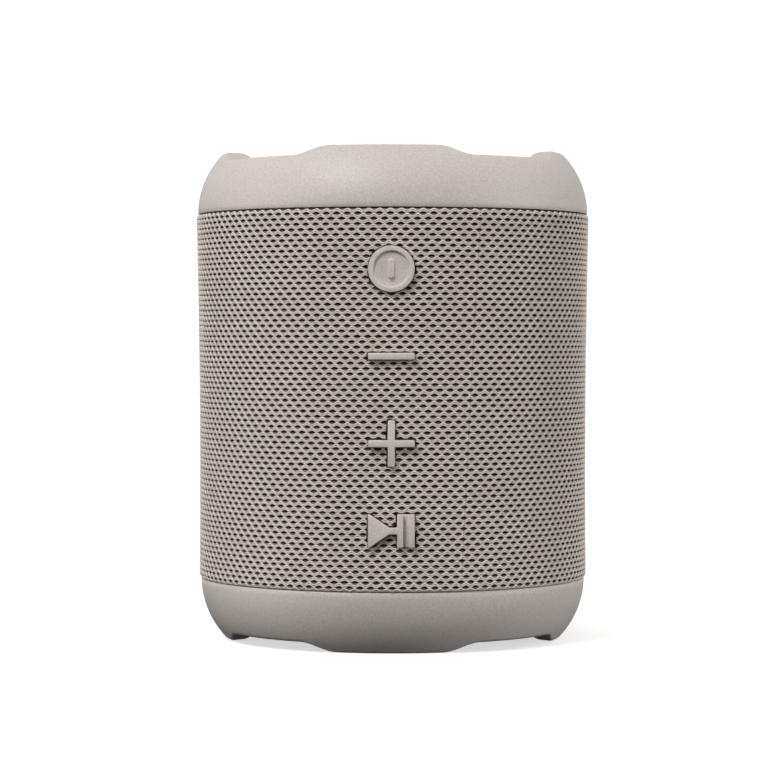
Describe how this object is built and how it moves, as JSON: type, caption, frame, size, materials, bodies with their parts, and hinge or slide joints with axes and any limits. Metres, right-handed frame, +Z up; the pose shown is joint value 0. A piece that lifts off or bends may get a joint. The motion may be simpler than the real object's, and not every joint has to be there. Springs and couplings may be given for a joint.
{
  "type": "portable bluetooth speaker",
  "caption": "Upright barrel-shaped wireless speaker with a knit fabric sleeve between lobed end caps, a column of raised control keys and a passive radiator in each end.",
  "frame": {"origin": "middle of the base, on the surface that the bottom lobes stand on", "axes": "+Z up along the barrel, the column of keys faces -Y, +X to the right as seen from the keys, the port bay faces +Y"},
  "size_m": [0.0862, 0.0868, 0.106],
  "materials": {
    "cap_plastic": "satin soft-touch paint over moulded plastic, warm taupe grey",
    "knit_fabric": "open warp knit of taupe yarn over a dark backing",
    "key_plastic": "satin, the same taupe as the caps",
    "black_plastic": "matt moulded",
    "bezel_plastic": "satin, close to the caps",
    "door_rubber": "matt silicone rubber",
    "rubber": "matt",
    "foam": "closed-cell foam",
    "disc_plastic": "fine satin",
    "cone_paper": "coated paper",
    "steel": "zinc plated",
    "black_steel": "black oxide",
    "basket_steel": "black paint",
    "magnet": "nickel plated",
    "ferrite": "dark sintered",
    "circuit_board": "green solder mask",
    "cell_wrap": "shrink wrap",
    "holder_plastic": "natural moulded",
    "lead_insulation": "silicone insulation"
  },
  "bodies": {
    "housing": {"top_cap": "cap_plastic", "bottom_cap": "cap_plastic", "fabric_sleeve": "knit_fabric", "sleeve_carrier": "black_plastic", "inner_enclosure": "black_plastic", "top_baffle": "black_plastic", "bottom_baffle": "black_plastic", "end_gaskets": "foam", "end_screws": "steel", "top_radiator_frame": "black_plastic", "bottom_radiator_frame": "black_plastic", "radiator_screws": "black_steel", "top_surround": "rubber", "bottom_surround": "rubber", "left_basket": "basket_steel", "right_basket": "basket_steel", "left_magnet": "magnet", "right_magnet": "magnet", "left_surround": "rubber", "right_surround": "rubber", "driver_gaskets": "foam", "driver_leads": "lead_insulation", "main_board": "circuit_board", "tact_switches": "steel", "board_screws": "steel", "bluetooth_module": "steel", "amplifier_chip": "black_plastic", "power_inductors": "ferrite", "battery_cell": "cell_wrap", "battery_holder": "holder_plastic", "battery_lead": "lead_insulation", "port_bezel": "bezel_plastic", "port_door_pin": "steel", "port_board": "circuit_board", "usb_socket": "steel", "aux_socket": "black_plastic"},
    "power_button": {"power_key": "key_plastic", "power_plunger": "black_plastic"},
    "minus_button": {"minus_key": "key_plastic", "minus_plunger": "black_plastic"},
    "plus_button": {"plus_key": "key_plastic", "plus_plunger": "black_plastic"},
    "play_button": {"play_key": "key_plastic", "play_plunger": "black_plastic"},
    "door": {"port_door": "door_rubber"},
    "top_radiator": {"top_disc": "disc_plastic", "top_weight": "steel"},
    "bottom_radiator": {"bottom_disc": "disc_plastic", "bottom_weight": "steel"},
    "left_diaphragm": {"left_cone": "cone_paper", "left_dust_cap": "cone_paper"},
    "right_diaphragm": {"right_cone": "cone_paper", "right_dust_cap": "cone_paper"}
  },
  "joints": [
    {"name": "power_press", "type": "slide", "parent": "housing", "child": "power_button", "axis": [0, 1, 0], "range_m": [0, 0.0006], "stiffness_N_per_m": 1500},
    {"name": "minus_press", "type": "slide", "parent": "housing", "child": "minus_button", "axis": [0, 1, 0], "range_m": [0, 0.0006], "stiffness_N_per_m": 1500},
    {"name": "plus_press", "type": "slide", "parent": "housing", "child": "plus_button", "axis": [0, 1, 0], "range_m": [0, 0.0006], "stiffness_N_per_m": 1500},
    {"name": "play_press", "type": "slide", "parent": "housing", "child": "play_button", "axis": [0, 1, 0], "range_m": [0, 0.0006], "stiffness_N_per_m": 1500},
    {"name": "port_door_hinge", "type": "hinge", "parent": "housing", "child": "door", "pos_m": [-0.0137, 0.03928, 0.03], "axis": [0, 0, 1], "range_deg": [0, 85]},
    {"name": "top_radiator_stroke", "type": "slide", "parent": "housing", "child": "top_radiator", "axis": [0, 0, 1], "range_m": [-0.0025, 0.0025], "stiffness_N_per_m": 2300, "deforming": ["top_surround"]},
    {"name": "bottom_radiator_stroke", "type": "slide", "parent": "housing", "child": "bottom_radiator", "axis": [0, 0, -1], "range_m": [-0.0025, 0.0025], "stiffness_N_per_m": 2300, "deforming": ["bottom_surround"]},
    {"name": "left_cone_stroke", "type": "slide", "parent": "housing", "child": "left_diaphragm", "axis": [-1, 0, 0], "range_m": [-0.001, 0.001], "stiffness_N_per_m": 1600, "deforming": ["left_surround"]},
    {"name": "right_cone_stroke", "type": "slide", "parent": "housing", "child": "right_diaphragm", "axis": [1, 0, 0], "range_m": [-0.001, 0.001], "stiffness_N_per_m": 1600, "deforming": ["right_surround"]}
  ]
}
